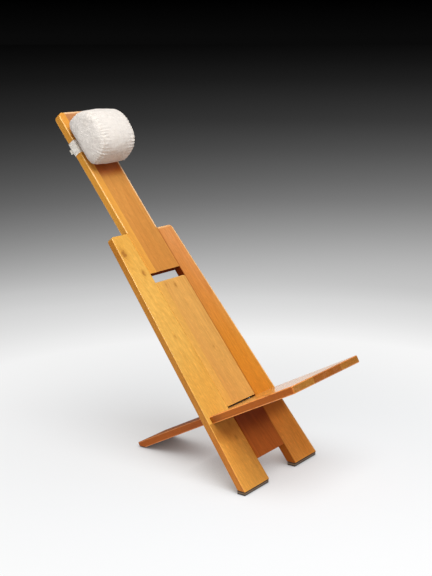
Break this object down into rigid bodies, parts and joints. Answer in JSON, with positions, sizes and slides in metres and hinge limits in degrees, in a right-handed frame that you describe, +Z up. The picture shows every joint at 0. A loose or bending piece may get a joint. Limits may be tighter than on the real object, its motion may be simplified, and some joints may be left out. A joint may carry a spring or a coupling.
{
  "type": "two-piece plank chair",
  "caption": "Low reclining plank chair: a tall wooden back on two feet, a seat plank slotted through it, and a padded headrest strapped round the neck.",
  "frame": {"origin": "on the floor, under the middle of the chair's overall length and width", "axes": "+Z up, +X to the sitter's left, the chair faces -Y"},
  "size_m": [0.383, 0.9354, 1.0146],
  "materials": {
    "rail_wood": "satin varnish over straight-grained warm brown wood",
    "pale_wood": "satin varnish over pale yellow wood",
    "amber_wood": "satin varnish over amber wood",
    "panel_wood": "satin varnish over golden wood",
    "seat_wood": "satin varnish over reddish brown wood",
    "dowel_wood": "plain turned beech",
    "felt": "pressed taupe felt",
    "pad_backing": "matt dark rubber sheet",
    "cover_fabric": "plain cream cloth",
    "strap_fabric": "beige cotton webbing",
    "filling": "white fibre filling"
  },
  "bodies": {
    "back": {"side_rail_right": "rail_wood", "side_rail_left": "rail_wood", "neck_narrow_stave": "pale_wood", "neck_broad_stave": "amber_wood", "centre_panel": "panel_wood", "lower_panel": "panel_wood", "neck_dowels": "dowel_wood", "centre_panel_dowels": "dowel_wood", "lower_panel_dowels": "dowel_wood", "foot_felt_right": "felt", "foot_felt_left": "felt", "foot_backing_right": "pad_backing", "foot_backing_left": "pad_backing"},
    "seat": {"seat_centre_board": "seat_wood", "seat_side_board_right": "seat_wood", "seat_side_board_left": "seat_wood", "seat_dowels": "dowel_wood", "tail_pad": "felt"},
    "headrest": {"headrest_cover": "cover_fabric", "headrest_end_right": "cover_fabric", "headrest_end_left": "cover_fabric", "headrest_filling": "filling", "headrest_strap": "strap_fabric", "strap_loose_end": "strap_fabric"}
  },
  "joints": [
    {"name": "seat_slide", "type": "slide", "parent": "back", "child": "seat", "axis": [0, -0.8838, 0.4679], "range_m": [0, 0.36]},
    {"name": "headrest_slide", "type": "slide", "parent": "back", "child": "headrest", "axis": [0, 0.6157, 0.788], "range_m": [-0.28, 0.07]}
  ]
}
